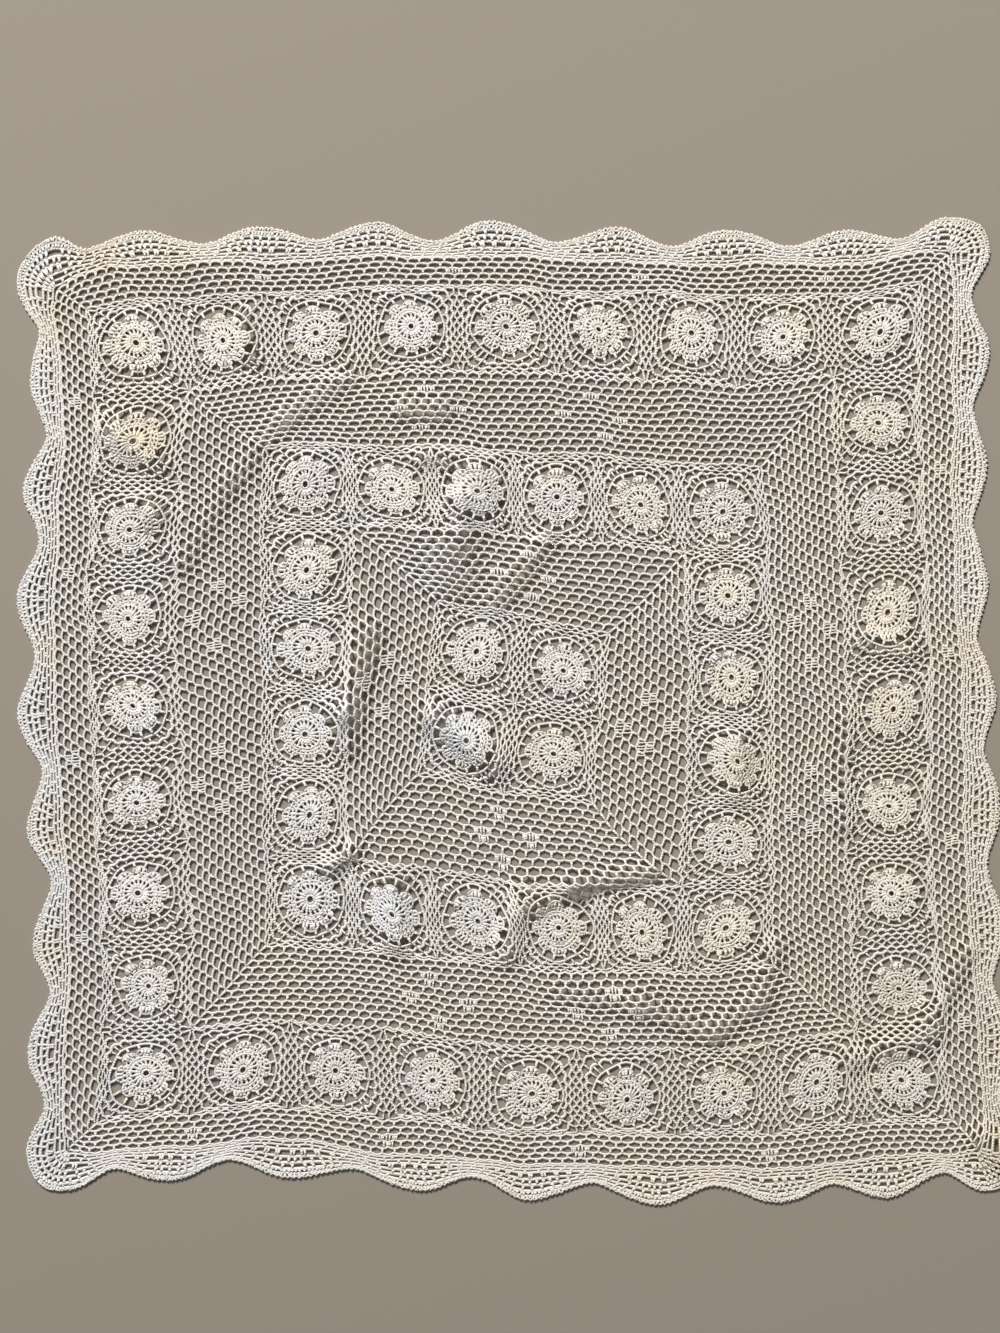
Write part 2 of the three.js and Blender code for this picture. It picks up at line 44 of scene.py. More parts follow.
# Pattern, in millimetres, pulled flat and square and centred on the origin
CENTRE_PITCH = 80
INNER_PITCH = 76
OUTER_PITCH = 85
CENTRE_COUNT = 2
INNER_COUNT = 6
OUTER_COUNT = 9
CENTRE_HALF = (CENTRE_COUNT - 1) / 2 * CENTRE_PITCH
INNER_HALF = (INNER_COUNT - 1) / 2 * INNER_PITCH
OUTER_HALF = (OUTER_COUNT - 1) / 2 * OUTER_PITCH
CENTRE_REACH = 39.5
INNER_REACH = 39
OUTER_REACH = 42.5
BORDER_REACH = 37
EDGING_BASE = 404
SCALLOP_PITCH = 104
SCALLOPS_HALF = 364
SCALLOP_POWER = 0.85
CORNER_EASE = 6.0
CORNER_EASE_REACH = 18.0
# Half of the turn round a corner, in degrees
HALF_TURN = 45
SIDE_NAMES = ("top", "right", "bottom", "left")

# Yarn: tubes of few sides, swollen to look round, that lie and twist a little unevenly
BAR_SIDES = 5
POST_SIDES = 4
SWELL_POWER = 0.8
HEIGHT_STRAY = 0.09
TWIST_STRAY = 9
CLOTH_LIFT = 0.6

# Nets: brick-like rows of chain bars on short posts
NET_ROWS = 11
BORDER_ROWS = 5
INNER_NET_LOOPS = 15
OUTER_NET_LOOPS = 44
BORDER_NET_LOOPS = 72
STEPS_PER_LOOP = 4
NET_ARCH = 1.6
NET_ARCH_POWER = 2.0
NET_SAG = 0.25
# Where along a loop its arch peaks, as a share, on the top, right, bottom and left side
LOOP_PEAKS = [0.41, 0.29, 0.47, 0.27]
# The last row of a net between medallions has higher arches, from lower feet
ROOF_PEAK = 0.5
ROOF_RISE = 2.8
ROOF_POWER = 1.2
ROOF_SINK = 1.2
CHAIN_WIDE = 0.97
CHAIN_HIGH = 0.9
CHAIN_Z = CHAIN_HIGH + 0.1
POST_WIDE = 1.05
POST_HIGH = 0.8
POST_Z = 0.95
POST_BOW = 0.3
POST_OVERLAP = 0.5
# How wide a post is at its foot, middle and top
POST_FLARE = np.array([1.25, 0.9, 1.25])
PICOT_FLARE = np.array([1.2, 1.0, 0.6])

# Filled blocks of the nets, as row and place along the side, and the places of a block's bars
DIAMOND = [(3, 0), (6, -26), (6, 26), (9, 0)]
OUTER_DIAMONDS = [(row, place + middle) for middle in (-79, 79) for row, place in DIAMOND]
BORDER_BLOCKS = [(3, place) for place in (-212.5, -42.5, 127.5, 297.5)]
BLOCK_BARS = np.arange(-2.5, 3) * 2.8
BLOCK_TOPS = np.arange(-1.5, 2) * 2.5
BLOCK_WIDE = 0.76
BLOCK_Z = 0.85
BLOCK_DENSE = 0.3

# Medallions, in millimetres from their middle and degrees round it. Each is puffed up, leant, turned,
# shifted and stretched by chance, which fades out at a radius
PUFFS = (0.3, 1.5)
LEAN_STRAY = 0.05
PUFF_FADES = 33
TURN_STRAY = 2.5
TURN_FADES = 40
SHIFT_STRAY = 1.4
STRETCH_STRAY = 0.03
SHIFT_FADES = 35
FLOWER_DENSE = 1.0
OUTWARDS = [(1, 0), (0, 1), (-1, 0), (0, -1)]

# Heart of a flower: an eye, stitches round it, and rounds of knots in pairs between bindings
EYE_RADIUS = 3.3
EYE_POINTS = 12
EYE_WIDE = 0.9
EYE_HIGH = 0.8
EYE_Z = 1.3
STITCH_COUNT = 18
STITCH_RADII = [3.4, 6.0, 8.4, 9.8, 11.6, 13.0]
STITCH_WIDES = [0.75, 1.35, 1.75, 1.05, 1.0, 2.2]
STITCH_LEANS = [-4, -2, 0, 1, 2, 3]
STITCH_STRAY = 1.0
STITCH_HIGH = 0.48
STITCH_Z = 1.15
KNOT_ROUNDS = [
    # pairs in the round, degrees between the two, half a knot's width, radius of its foot and its top
    (13, 13.6, 1.9, 13.5, 16.0),
    (16, 9.4, 1.4, 16.4, 19.1),
]
KNOT_STRAY = 0.08
KNOT_HIGH = 0.46
KNOT_Z = 1.1
BINDING_ROUNDS = [
    # radius, points, half the width
    (13.3, 24, 0.95),
    (16.2, 24, 0.9),
    (19.3, 32, 0.9),
]
BINDING_STRAY = 0.2
BINDING_HIGH = 0.46
BINDING_Z = 1.2

# Petals: bars that fan out, with foot, waist and tip, and a hem over their tips
PETAL_COUNT = 8
PETAL_BARS = np.arange(-2, 3) / 2
PETAL_FOOT = 19.0
PETAL_WAIST = 21.2
PETAL_TIP = 24.3
PETAL_ROUNDING = 2.8
PETAL_SPREADS = np.array([17, 17.4, 17])
PETAL_WIDES = [1.3, 1.3, 1.6]
PETAL_STRAY = 0.6
PETAL_STRAY_SHARES = [0, 0.5, 1]
PETAL_BAR_STRAY = 1.0
PETAL_HIGH = 0.5
PETAL_Z = 1.15
HEM_POINTS = 7
HEM_RADIUS = 24.8
HEM_ROUNDING = 3.2
HEM_SPREAD = 18.5
HEM_WIDE = 0.85
HEM_HIGH = 0.55
HEM_Z = 1.2

# Ring round the petals, on two spokes from each
RING_RADIUS = 29.8
RING_POINTS = 40
RING_BULGE = 0.45
RING_WAVES = (2, 3, 5)
RING_STRAY = 0.35
RING_WIDE = 0.95
RING_HIGH = 0.7
RING_Z = 1.0
RING_DENSE = 0.6
SPOKE_FOOT = 23.6
SPOKE_SPREADS = np.array([10, 12])
SPOKE_WIDES = [1.25, 1.05]
SPOKE_HIGH = 0.75
SPOKE_Z = 0.95

# Rounds of loops from the ring out to a medallion's four edges. The arch, the dips, the distance apart
# at an edge, the spares outside the last round and the overlap at an edge count in steps between rounds
ROUND_COUNT = 3
ROUND_LOOPS = 5
ROUND_STEPS = 4
ROUND_ARCH = 0.14
ARCHED_STEP = 6
ROUND_DIPS = [0.42, 0.45, 0.65]
ROUND_APART = 1.1
NET_SPARE = 1.0
NEXT_SPARE = 0.5
CORNER_SPARE = 0.5
SPARE_KEPT = 0.6
EDGE_OVERLAP = 0.25
CORNER_OVERLAP = 1
ROUND_WIDES = [1.5, 1.2, 0.95]
ROUND_LEAST_WIDE = 0.6
ROUND_WIDE_SHARE = 0.28
ROUND_HIGH = 0.6
ROUND_Z = 0.95
ROUND_DENSE = 0.35
ROUND_POST_WIDE = 0.75
CORNER_POST_WIDE = 0.85
EDGE_POST_WIDE = 0.72
SHORTEST_ROUND_POST = 0.4
SWEEP_POINTS = 61
# A divisor stays over the least sine, and the radius far out lies past every edge
LEAST_SINE = 0.1
FAR_OUT = 100

# Rows of the edging, from the border net outwards: heights over the base in a valley, under a scallop's
# tip and at a corner, half the bar's width at a tip, posts below it along a scallop, how much these
# crowd at the tip, posts in the turn round a corner, half a post's width, and strands in a post
EDGING_ROWS = [
    ((2.5, 2.8, 4.0), 0.9, 11, 0.0, 0, 1.15, 1),
    ((5.0, 5.8, 7.6), 0.9, 11, 0.0, 4, 1.15, 1),
    ((7.5, 9.2, 11.6), 1.15, 11, 0.0, 5, 1.25, 1),
    ((10.0, 15.6, 17.2), 1.3, 10, 0.0, 5, 1.05, 2),
    ((12.5, 20.8, 22.2), 1.45, 14, 0.3, 7, 1.25, 1),
    ((15.0, 26.0, 27.4), 1.5, 13, 0.0, 8, 1.3, 1),
]
# Rim and picots beyond them, two rows of crowded stitches, in the same columns
RIM_ROW = ((16.4, 30.0, 31.2), 1.0, 34, 0.0, 15, 1.2, 1)
PICOT_ROW = ((18.0, 33.6, 34.8), 0.8, 42, 0.0, 20, 0.95, 1)
BAR_WIDE = 0.92
BAR_UNEVEN = 0.12
BAR_STEPS = 200
TURN_STEPS = 8
EDGING_HIGH = 0.6
EDGING_Z = 1.0
EDGING_DENSE = 0.8
EDGING_FAN = 0.02
RIM_FAN = 0.03
RIM_UNEVEN = 0.25
RIM_BAR_UNEVEN = 0.35
RIM_DENSE = 1.0
PICOT_FAN = 0.04
PICOT_UNEVEN = 0.5
PICOT_BAR_UNEVEN = 0.3
PICOT_BAR_STEPS = 750
PICOT_BAR_SINK = 0.8
PICOT_PITCH = 4.3
PICOT_RISE = 0.9
PICOT_Z = 1.05
# Posts are set out over more scallops than a side has, and end a little before the side does
SET_OUT_SCALLOPS = 8
POST_STRAY = 0.12
POST_END_GAP = 0.4
TURN_POST_SHIFT = 0.25
STRAND_APART = 2.3
SHORTEST_EDGING_POST = 0.5

# Places on the laid cloth where the yarn is tinted tan, partly real stains and partly painted shade and
# painted warm light, or pale and cool with a strength below zero, which is painted cool light; the widest
# ones paint a drift of warm and cool light across the cloth
PAINTED_LIGHT_AND_STAIN_SPOTS = [
    # x, y, reach, strength
    (-339, 249, 24, 0.75),
    (-378, 415, 20, 0.6),
    (-420, 356, 20, 0.5),
    (-316, 416, 28, 0.35),
    (-276, 351, 20, 0.4),
    (-355, 330, 24, 0.35),
    (-431, 51, 16, 0.45),
    (-418, -125, 18, 0.5),
    (-425, -224, 20, 0.45),
    (196, 21, 24, 0.4),
    (204, -52, 24, 0.4),
    (325, 255, 34, 0.3),
    (355, 190, 34, 0.32),
    (345, 95, 34, 0.4),
    (342, 3, 30, 0.35),
    (349, -78, 34, 0.22),
    (405, 48, 34, 0.22),
    (445, -413, 26, 0.5),
    (-453, 289, 24, -0.4),
    (-459, 125, 26, -0.5),
    (-457, 29, 24, -0.5),
    (-456, -32, 26, -0.4),
    (-439, -159, 26, -0.6),
    (-450, -300, 40, -0.45),
    (-445, -410, 45, -0.5),
    (-281, -431, 22, -0.5),
    (-201, -440, 24, -0.4),
    (-177, -2, 26, -0.5),
    (-185, -166, 22, -0.5),
    (-113, -185, 24, -0.6),
    (-59, -18, 24, -0.6),
    (-79, 132, 30, -0.45),
    (-400, 60, 280, -0.17),
    (-400, -260, 280, -0.18),
    (-110, 180, 200, -0.12),
    (440, 150, 200, 0.05),
    (440, -120, 220, 0.13),
    (400, -380, 240, 0.19),
    (150, -420, 200, 0.1),
]

# How the cloth lies. Tilt and lean turn the rows and columns, bows push the sides outwards
LAY = np.array([
    # half, tilt, lean, move x, move y, top, right, bottom, left
    (60, 0.19, 0.12, -1, 3, 0, 0, 0, 0),
    (190, 0.068, -0.006, 1.5, 1.5, 4, 8, 12, 3),
    (340, 0, 0, 0, 0, 11, 5, 15, 9),
    (450, 0, 0, 0, 0, 12, 5, 16, 9),
])
CORNER_PULLS = [
    # side x, side y, pull of the outer ring x, y, pull of the edge x, y
    (-1, 1, -6, -11, -24.6, -22.7),
    (1, 1, -9, 6, -9.4, 14.2),
    (-1, -1, -2, 2, -16.9, -11.1),
    (1, -1, 17, 0, 30.2, -11.9),
]
# How the sides lie askew. Each side has its way out, then rows: place along it as a share, and how far the
# outer ring lies outwards and along there, and how far the edge does
SIDES = [
    # top
    (0, 1, np.array([
        (-0.92, 0, 0, 1.5, 0),
        (-0.83, 0, -6, 18, -7),
        (-0.71, 0, -10, 11, -13),
        (-0.48, 1, -9, 6.5, -13),
        (-0.24, 2, -7, 3.5, -12),
        (0, -1, -2.5, -2, -12),
        (0.24, -5.5, -1.5, -12, -6),
        (0.48, -10, -3, -14, -5),
        (0.71, -11.5, -1, -16, -3),
        (0.83, -8, -1, -11, -6),
        (0.92, -3.5, 0, 5, 4),
    ])),
    # right
    (1, 0, np.array([
        (-0.92, 0, 0, 0, 0),
        (-0.83, -1.5, -3, -2, 10),
        (-0.71, -2.5, -5, -3, 15),
        (-0.48, -7, -2.5, -6, 14),
        (-0.24, -7, -5.5, -6, 13),
        (0, 0, -3.5, -5, 11),
        (0.24, 0, 0, -7, 11),
        (0.48, -1, 5, -4.5, 5),
        (0.71, -1.5, 3, 1, 0),
        (0.83, -1, 2, 1, 0),
        (0.92, 0, 0, 5, 0),
    ])),
    # bottom
    (0, -1, np.array([
        (-0.92, -3, 0, -6, 0),
        (-0.83, -9, 3, -13, 5),
        (-0.71, -16, 7, -16, 3),
        (-0.61, -16, 7, -26, 4),
        (-0.48, -15.5, 7, -25, 11),
        (-0.37, -12, 7, -18, 17),
        (-0.24, -9, 7, -14, 15),
        (0, 1.5, 8, -7, 12),
        (0.24, 3, 11, -4, 15),
        (0.48, 5, 11, 0, 17),
        (0.71, 2, 11, -3, 8),
        (0.83, -1, 5, -11, 9),
        (0.92, -5, 0, -8, 0),
    ])),
    # left
    (-1, 0, np.array([
        (-0.92, -4.5, 0, -8, 0),
        (-0.83, -7, -2, -6.5, 8),
        (-0.71, -9, -4, -9, 9),
        (-0.48, -5, -1, -14, 0),
        (-0.24, -3, -2.5, -9, -1),
        (0, -2, 0, -1, 2),
        (0.24, 5.5, 2, -1, 6),
        (0.48, 2, 2, -8, 7),
        (0.61, 2, -2, -14, 5),
        (0.71, 2.5, -5, -16, 6),
        (0.83, -1, -2, -9, 2),
        (0.92, -5, 0, 0, 0),
    ])),
]
# Distances from the pattern's middle, measured almost squarely, between which these pulls grow
RING_PULL_STARTS = 190
RING_PULL_WHOLE = 340
EDGE_PULL_WHOLE = 440
SQUARENESS = 8
# Middle of the laid cloth's box, which is the frame's origin
BOX_MIDDLE = (3, -3.533)

# Unevenness of work by hand: waves across the pattern that shift it sideways
WAVES = [
    # wavelength, heading in degrees, shift x, shift y, start
    (118, 20, 0.6, 1.1, 0.4),
    (96, 110, 0.9, 0.6, 2.1),
    (71, 65, 0.4, 0.7, 4.0),
    (58, 150, 0.5, 0.4, 1.2),
    (41, 5, 0.2, 0.4, 5.1),
    (37, 95, 0.3, 0.2, 3.3),
]

# Folds: a ridge from one place to another, its height and its reach to the sides
FOLDS = [
    (-101, 276, -69, 274, 7, 11),
    (-84, 230, -66, 231, 6, 10),
    (-63, 138, -60, 122, 6, 24),
    (-36, 216, -34, 186, 7, 22),
    (-54, 190, -50, 152, 7, 11),
    (28, 154, -18, 98, 5, 12),
    (-134, 68, -155, -4, 8, 13),
    (-155, -4, -155, -32, 6, 14),
    (-73, -8, -23, -47, 9, 16),
    (-172, -146, -150, -132, 7, 9),
    (-112, -160, -111, -215, 7, 15),
    (9, -166, -8, -226, 7, 12),
    (18, -180, 55, -162, 6, 10),
    (55, -162, 124, -150, 8, 9),
    (-304, 133, -260, 211, 3, 11),
    (-260, 211, -212, 266, 3, 11),
    (-212, 266, -156, 303, 4, 11),
    (-368, 255, -336, 227, 6, 14),
    (-342, 186, -336, 178, 5, 14),
    (-250, 356, -244, 324, 4, 11),
    (41, -260, 115, -271, 4, 12),
    (115, -271, 181, -297, 5, 12),
    (181, -297, 223, -268, 5, 12),
    (223, -268, 238, -219, 5, 12),
    (202, -32, 203, -78, 6, 15),
    (301, -9, 301, -109, 4, 10),
    (322, 62, 359, 52, 5, 11),
    (414, -224, 382, -288, 5, 11),
    (312, -322, 384, -300, 5, 13),
    (428, -394, 448, -414, 7, 13),
]
# Lifts below this lie flat
SETTLED = 0.4

# Cotton: colours, shares of stains, strands and fibres, finish and plies
COOL = (0.82, 0.81, 0.795)
WARM = (0.86, 0.805, 0.725)
# Tan for the stains, and for tints that are partly painted shade and painted warm light
TAN = (0.82, 0.71, 0.52)
# Painted cool light, blended in where the tints fall below zero
PAINTED_COOL_LIGHT = (0.79, 0.83, 0.89)
DARK = (0.45, 0.38, 0.29)
STAIN_SHARE = 0.3
STRAND_SHARE = 0.10
FIBRE_SHARE = 0.12
# Scale, detail, and the values that become 0 and 1
MOTTLE_NOISE = (12.0, 4.0, 0.34, 0.66)
STAIN_NOISE = (26.0, 3.0, 0.5, 0.7)
FIBRE_NOISE = (1400.0, 2.0, 0.3, 0.7)
FINISH = {
    "Roughness": 0.92,
    "Specular IOR Level": 0.2,
    "Sheen Weight": 0.15,
    "Sheen Roughness": 0.6,
}
# A ply's length for one turn in millimetres, and the depth of its bump in metres
PLY_LENGTH = 2.6
PLY_CREST = 0.61
PLY_SLANT = 5 * math.pi
PLY_STRENGTH = 0.5
PLY_DEPTH = 0.0003

# Floor, lights and camera, in metres, watts and degrees, with the lens in millimetres
FLOOR_HALF = 40
FLOOR_COLOUR = (0.292, 0.257, 0.215)
FLOOR_ROUGHNESS = 0.9
KEY_PLACE = (-2.24, 6.72, 5.28)
KEY_SIZE = 2.46
KEY_ENERGY = 1130
KEY_COLOUR = (1.0, 0.965, 0.92)
# The fill light comes from an azimuth, 0 from the right and 90 from the top of the picture
FILL_AZIMUTH = 205
FILL_ELEVATION = 30
FILL_SOFTNESS = 40
FILL_ENERGY = 0.58
FILL_COLOUR = (0.76, 0.88, 1.0)
WORLD_COLOUR = (1.0, 0.975, 0.94)
WORLD_STRENGTH = 0.13
CAMERA_PLACE = (-0.0168, 0.0408, 1.703)
CAMERA_LENS = 50


# Where the cloth lies

def ramp(value, start, whole):
    """A smooth share, 0 up to the start and 1 from the whole on."""
    share = np.clip((value - start) / (whole - start), 0, 1)
    return share * share * (3 - 2 * share)


def lay_at(half):
    """Columns of the lay at a distance from the pattern's middle."""
    row = [np.full_like(half, value) for value in LAY[0, 1:]]
    for low, high in zip(LAY[:-1], LAY[1:]):
        share = ramp(half, low[0], high[0])
        for column in range(len(row)):
            row[column] = row[column] + (high[column + 1] - low[column + 1]) * share
    return row


def laid(x, y):
    """Where a place of the flat pattern lies."""
    half = np.maximum((np.abs(x) ** SQUARENESS + np.abs(y) ** SQUARENESS) ** (1 / SQUARENESS), 1)
    across = x / half
    along = y / half
    tilt, lean, move_x, move_y, top, right, bottom, left = lay_at(half)
    bow_x = right * np.maximum(across, 0) ** 2 - left * np.maximum(-across, 0) ** 2
    bow_y = top * np.maximum(along, 0) ** 2 - bottom * np.maximum(-along, 0) ** 2
    laid_x = x + lean * y + move_x + (1 - along**2) * bow_x
    laid_y = y - tilt * x + move_y + (1 - across**2) * bow_y
    ring_share = ramp(half, RING_PULL_STARTS, RING_PULL_WHOLE)
    edge_share = ramp(half, RING_PULL_WHOLE, EDGE_PULL_WHOLE)
    for side_x, side_y, ring_x, ring_y, edge_x, edge_y in CORNER_PULLS:
        near = ((1 + side_x * across) * (1 + side_y * along) / 4) ** 2 * ring_share
        laid_x = laid_x + near * (ring_x + (edge_x - ring_x) * edge_share)
        laid_y = laid_y + near * (ring_y + (edge_y - ring_y) * edge_share)
    for out_x, out_y, rows in SIDES:
        place = across * abs(out_y) + along * abs(out_x)
        near = np.maximum(across * out_x + along * out_y, 0) ** 4 * ring_share
        columns = [np.interp(place, rows[:, 0], column) for column in rows[:, 1:].T]
        ring_out, ring_along, edge_out, edge_along = columns
        outwards = near * (ring_out + (edge_out - ring_out) * edge_share)
        aside = near * (ring_along + (edge_along - ring_along) * edge_share)
        laid_x = laid_x + outwards * out_x + aside * abs(out_y)
        laid_y = laid_y + outwards * out_y + aside * abs(out_x)
    for length, heading, shift_x, shift_y, start in WAVES:
        turn = math.radians(heading)
        wave = np.sin(2 * math.pi * (x * math.cos(turn) + y * math.sin(turn)) / length + start)
        laid_x = laid_x + shift_x * wave
        laid_y = laid_y + shift_y * wave
    return laid_x, laid_y


def fold_height(x, y):
    """How far the folds lift a place of the laid cloth."""
    lift = np.zeros_like(x)
    for from_x, from_y, to_x, to_y, height, reach in FOLDS:
        run_x = to_x - from_x
        run_y = to_y - from_y
        place = ((x - from_x) * run_x + (y - from_y) * run_y) / (run_x**2 + run_y**2)
        place = np.clip(place, 0, 1)
        far = np.hypot(x - from_x - place * run_x, y - from_y - place * run_y)
        lift += height * np.exp(-((far / reach) ** 2))
    return np.maximum(lift - SETTLED, 0)


def eased(x, y):
    """A place of the flat pattern, drawn in where the border net rounds its corners."""
    far = np.hypot(np.abs(x) - EDGING_BASE, np.abs(y) - EDGING_BASE)
    pull = CORNER_EASE * np.exp(-((far / CORNER_EASE_REACH) ** 2))
    return x - pull * np.sign(x), y - pull * np.sign(y)


def stain_and_painted_light_at(x, y):
    """How tan the yarn is at a place of the laid cloth, partly from real stains and partly as painted shade
    and warm light, or below zero how pale and cool, as painted cool light.
    """
    stain_and_painted_light = np.zeros_like(x)
    for spot_x, spot_y, reach, strength in PAINTED_LIGHT_AND_STAIN_SPOTS:
        stain_and_painted_light += strength * np.exp(-((x - spot_x) ** 2 + (y - spot_y) ** 2) / reach**2)
    return np.clip(stain_and_painted_light, -1, 1)


def turned(x, y, quarters):
    """A place of the top side, turned clockwise to the right, bottom or left side."""
    for _ in range(quarters):
        x, y = y, -x
    return x, y


# Yarn as meshes

def placed(name, data):
    """A new object in the scene."""
    made = bpy.data.objects.new(name, data)
    bpy.context.scene.collection.objects.link(made)
    return made


def mesh_object(name, places, faces, layers):
    """An object from its points, groups of faces with as many corners each, and values at the points."""
    corners = np.concatenate([group.ravel() for group in faces])
    sizes = np.concatenate([np.full(len(group), group.shape[1]) for group in faces])
    mesh = bpy.data.meshes.new(name)
    mesh.vertices.add(len(places))
    mesh.vertices.foreach_set("co", places.ravel())
    mesh.loops.add(len(corners))
    mesh.loops.foreach_set("vertex_index", corners.astype(np.int32))
    mesh.polygons.add(len(sizes))
    mesh.polygons.foreach_set("loop_start", (np.cumsum(sizes) - sizes).astype(np.int32))
    mesh.polygons.foreach_set("use_smooth", np.ones(len(sizes), bool))
    for label, values in layers.items():
        layer = mesh.attributes.new(label, "FLOAT", "POINT")
        layer.data.foreach_set("value", np.concatenate(values).astype(np.float32))
    mesh.update(calc_edges=True)
    return placed(name, mesh)


def tube_ways(middle, closed):
    """The ways to the side and up at each point of runs of yarn."""
    if closed:
        run = np.roll(middle, -1, 1) - np.roll(middle, 1, 1)
    else:
        run = np.gradient(middle, axis=1)
    run /= np.linalg.norm(run, axis=-1, keepdims=True)
    side = np.stack([-run[..., 1], run[..., 0], np.zeros(run.shape[:2])], -1)
    side /= np.linalg.norm(side, axis=-1, keepdims=True)
    up = np.cross(run, side)
    up *= np.sign(up[..., 2:3])
    return side, up


def tube_faces(index, closed):
    """Faces round tubes, from the numbers of their points by run, step and side."""
    near = index if closed else index[:, :-1]
    far = np.roll(index, -1, 1) if closed else index[:, 1:]
    return np.stack([near, np.roll(near, -1, 2), np.roll(far, -1, 2), far], -1).reshape(-1, 4)


class Yarn:
    """Runs of yarn, given in the flat pattern and laid together as one mesh of closed tubes."""

    def __init__(self):
        self.runs = {}

    def add(self, x, y, z, wide, high, sides, closed=False, dense=0.0):
        """Runs by their points, one run in a row, with half their width and height."""
        x = np.atleast_2d(np.asarray(x, float))
        y = np.atleast_2d(np.asarray(y, float))
        values = [np.broadcast_to(np.asarray(value, float), x.shape) for value in (z, wide, high, dense)]
        batch = self.runs.setdefault((x.shape[1], sides, closed), [])
        batch.append([x, y, *values])

    def mesh(self, name):
        """All the runs as one object."""
        places, quads, caps, layers = [], [], {}, {}
        first = 0
        for (points, sides, closed), batch in sorted(self.runs.items()):
            x, y, z, wide, high, dense = (np.concatenate(column) for column in zip(*batch))
            count = len(x)
            shape = (count, points, sides)
            z = z + chance.uniform(-HEIGHT_STRAY, HEIGHT_STRAY, (count, 1))
            laid_x, laid_y = laid(*eased(x, y))
            laid_z = fold_height(laid_x, laid_y) + z + CLOTH_LIFT
            middle = np.stack([laid_x - BOX_MIDDLE[0], laid_y - BOX_MIDDLE[1], laid_z], -1)
            side, up = tube_ways(middle, closed)
            swell = math.cos(math.pi / sides) ** SWELL_POWER
            angle = -math.pi / 2 + 2 * math.pi * (np.arange(sides) - 0.5) / sides
            ring = (
                middle[:, :, None]
                + (wide[..., None] / swell * np.cos(angle))[..., None] * side[:, :, None]
                + (high[..., None] / swell * np.sin(angle))[..., None] * up[:, :, None]
            )
            places.append(ring.reshape(-1, 3))
            step = np.linalg.norm(np.diff(middle, axis=1), axis=-1)
            along = np.concatenate([np.zeros((count, 1)), np.cumsum(step, 1)], 1)
            along = along + chance.uniform(0, TWIST_STRAY, (count, 1))
            values = {
                "along": along[..., None],
                "around": np.arange(sides) / sides,
                "tone": chance.uniform(0, 1, (count, 1, 1)),
                "dense": dense[..., None],
                # Tints: real stains mixed with painted shade and painted warm and cool light
                "stain_and_painted_light": stain_and_painted_light_at(laid_x, laid_y)[..., None],
            }
            for label, value in values.items():
                layers.setdefault(label, []).append(np.broadcast_to(value, shape).ravel())
            index = first + np.arange(count * points * sides).reshape(shape)
            quads.append(tube_faces(index, closed))
            if not closed:
                caps.setdefault(sides, []).extend([index[:, 0, ::-1], index[:, -1]])
            first += count * points * sides
        faces = quads + [ends for group in caps.values() for ends in group]
        return mesh_object(name, np.concatenate(places) * MM, faces, layers)


# Nets

def bar_place(half, count, x, peak, rise=NET_ARCH, power=NET_ARCH_POWER):
    """Height of a row's chain bar at x along its side: feet low, arches between them that lean over."""
    loop = (x / half + 1) / 2 * count % 1
    beside = np.where(loop < peak, loop / peak - 1, (loop - peak) / (1 - peak))
    return half + rise * (1 - np.abs(beside) ** power)


def add_posts(yarn, quarters, low, top, wide, z=POST_Z, dense=0.0, high=POST_HIGH, flare=POST_FLARE):
    """Posts of a side between their low and top places, each given as x and y."""
    low_x, low_y, top_x, top_y = np.broadcast_arrays(*low, *top)
    bow = chance.normal(0, POST_BOW, len(low_x))
    x = np.stack([low_x, (low_x + top_x) / 2 + bow, top_x], 1)
    y = np.stack([low_y, (low_y + top_y) / 2, top_y], 1)
    yarn.add(*turned(x, y, quarters), z, wide * flare, high, POST_SIDES, dense=dense)


def add_block(yarn, quarters, halves, counts, row, place):
    """A filled block: bars that crowd one loop, and on all sides but the top a few in the row outside it."""
    loops = (place / halves[row] + 1) / 2 * counts[row]
    middle = -halves[row] + 2 * halves[row] * (math.floor(loops) + 0.5) / counts[row]
    filled = [(row, BLOCK_BARS)]
    if SIDE_NAMES[quarters] != "top":
        filled.append((row + 1, BLOCK_TOPS))
    for upper, bars in filled:
        x = middle + bars
        low = bar_place(halves[upper - 1], counts[upper - 1], x, LOOP_PEAKS[quarters])
        top = bar_place(halves[upper], counts[upper], x, LOOP_PEAKS[quarters])
        add_posts(yarn, quarters, (x, low), (x, top), BLOCK_WIDE, BLOCK_Z, BLOCK_DENSE)


